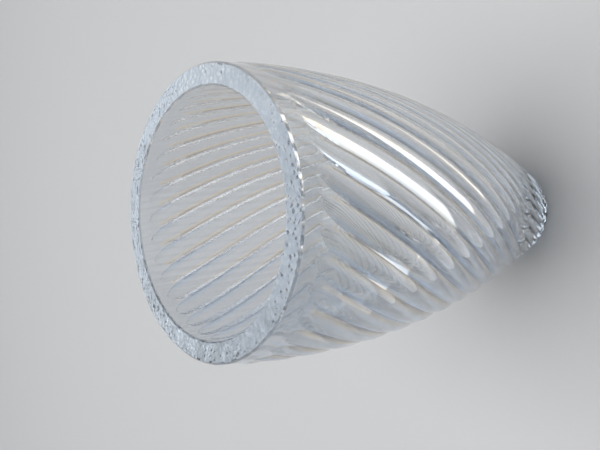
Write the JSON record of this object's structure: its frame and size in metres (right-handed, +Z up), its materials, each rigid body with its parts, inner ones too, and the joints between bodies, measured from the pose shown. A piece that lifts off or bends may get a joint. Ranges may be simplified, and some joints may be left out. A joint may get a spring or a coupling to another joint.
{
  "type": "cut crystal vase",
  "caption": "Tall ovoid vase in clear cut glass with spiral pillars, a plain band under a flat ground lip and a thick solid foot.",
  "frame": {"origin": "centre of the flat base that the vase stands on", "axes": "+Z up along the vase's axis, from the foot to the mouth; the body looks the same every 10 degrees round it"},
  "size_m": [0.1058, 0.1058, 0.203],
  "materials": {
    "crystal": "polished clear lead crystal"
  },
  "bodies": {
    "root": {"vase": "crystal"}
  },
  "joints": []
}
